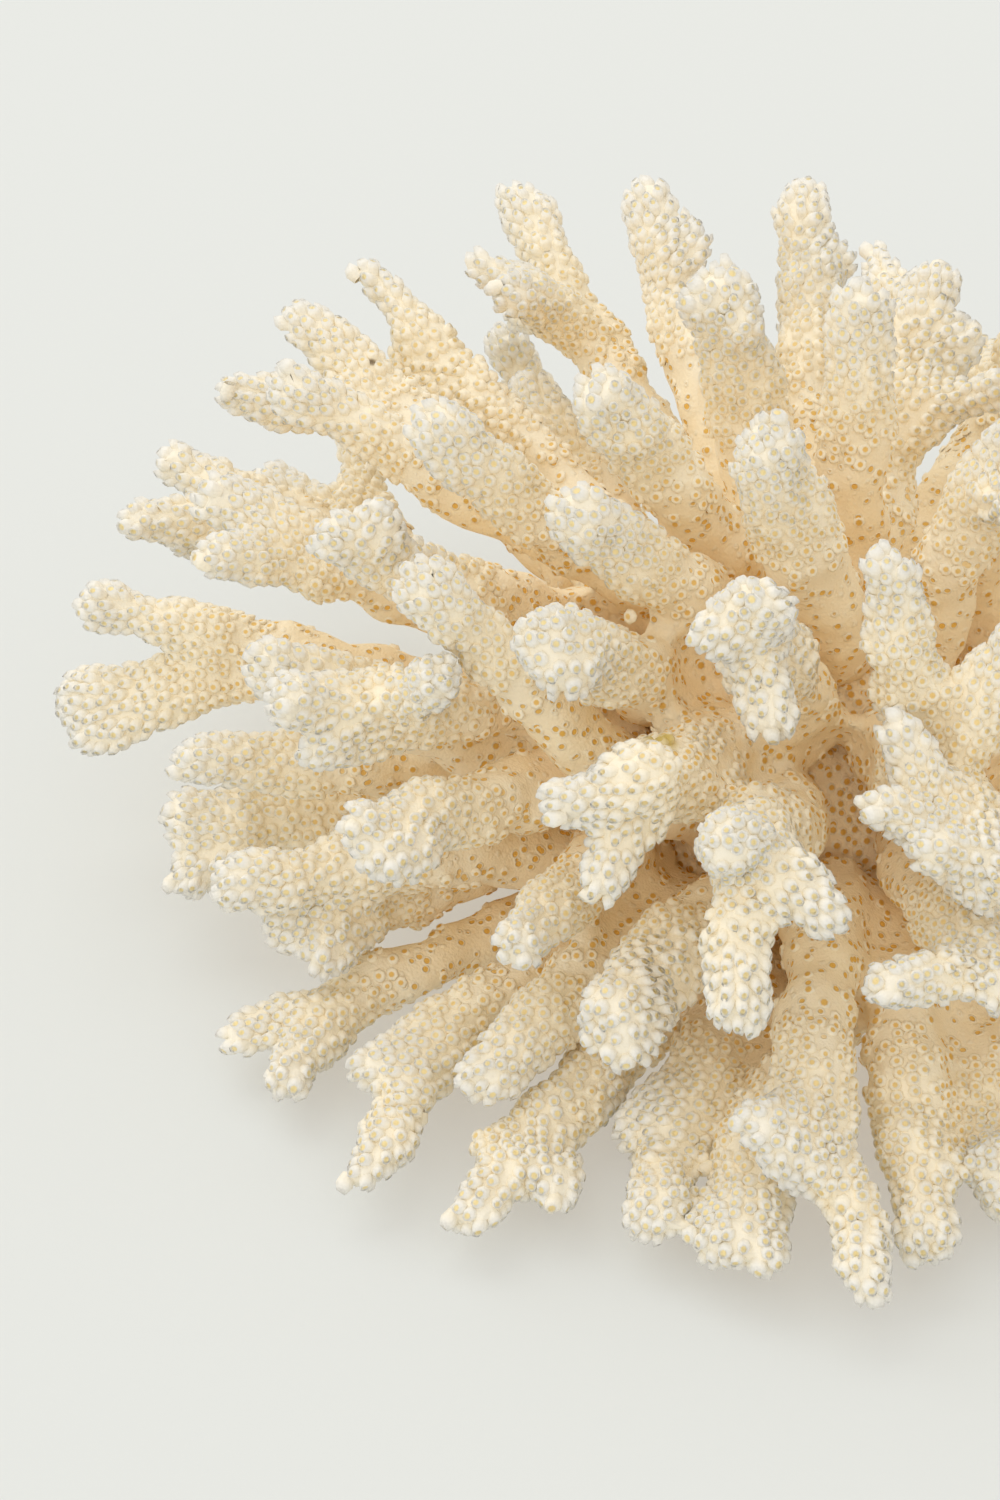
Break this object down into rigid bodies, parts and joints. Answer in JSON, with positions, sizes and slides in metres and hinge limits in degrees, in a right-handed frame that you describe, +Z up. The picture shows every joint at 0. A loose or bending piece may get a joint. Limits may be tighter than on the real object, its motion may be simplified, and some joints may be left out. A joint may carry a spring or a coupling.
{
  "type": "finger coral",
  "caption": "Bleached finger coral skeleton: knobbly limbs with cupped surfaces spread from a root that is cut off flat.",
  "frame": {"origin": "centre of the sawn face that the coral rests on", "axes": "+Z up out of the sawn face, +X to the right and -Y towards the viewer of the picture"},
  "size_m": [0.2305, 0.2244, 0.1129],
  "materials": {
    "coral_skeleton": "matt, bleached cream with white tips, covered in small raised cups with yellow pores",
    "coral_root": "matt, smoother beige with amber pores, sawn flat underneath"
  },
  "bodies": {
    "root": {"base": "coral_root", "branch_upper_left_1": "coral_skeleton", "branch_upper_left_2": "coral_skeleton", "branch_upper_left_3": "coral_skeleton", "branch_upper_left_4": "coral_skeleton", "branch_upper_left_5": "coral_skeleton", "branch_upper_left_6": "coral_skeleton", "branch_upper_left_7": "coral_skeleton", "branch_upper_left_8": "coral_skeleton", "branch_upper_left_9": "coral_skeleton", "branch_left_1": "coral_skeleton", "branch_left_2": "coral_skeleton", "branch_left_3": "coral_skeleton", "branch_left_4": "coral_skeleton", "branch_left_5": "coral_skeleton", "branch_left_6": "coral_skeleton", "branch_left_7": "coral_skeleton", "branch_left_8": "coral_skeleton", "branch_top_1": "coral_skeleton", "branch_top_2": "coral_skeleton", "branch_top_3": "coral_skeleton", "branch_top_4": "coral_skeleton", "branch_top_5": "coral_skeleton", "branch_top_6": "coral_skeleton", "branch_top_7": "coral_skeleton", "branch_top_8": "coral_skeleton", "branch_top_9": "coral_skeleton", "branch_front_1": "coral_skeleton", "branch_front_2": "coral_skeleton", "branch_front_3": "coral_skeleton", "branch_front_4": "coral_skeleton", "branch_front_5": "coral_skeleton", "branch_front_6": "coral_skeleton", "branch_front_7": "coral_skeleton", "branch_front_8": "coral_skeleton", "branch_front_9": "coral_skeleton", "branch_front_10": "coral_skeleton", "branch_lower_front_1": "coral_skeleton", "branch_lower_front_2": "coral_skeleton", "branch_lower_front_3": "coral_skeleton", "branch_lower_front_4": "coral_skeleton", "branch_lower_front_5": "coral_skeleton", "branch_lower_front_6": "coral_skeleton", "branch_lower_front_7": "coral_skeleton", "branch_lower_front_8": "coral_skeleton", "branch_right_1": "coral_skeleton", "branch_right_2": "coral_skeleton", "branch_right_3": "coral_skeleton", "branch_right_4": "coral_skeleton", "branch_right_5": "coral_skeleton", "branch_right_6": "coral_skeleton", "branch_right_7": "coral_skeleton", "branch_right_8": "coral_skeleton", "branch_right_9": "coral_skeleton", "branch_right_10": "coral_skeleton", "branch_back_1": "coral_skeleton", "branch_back_2": "coral_skeleton", "branch_back_3": "coral_skeleton", "branch_back_4": "coral_skeleton", "branch_back_5": "coral_skeleton"}
  },
  "joints": []
}
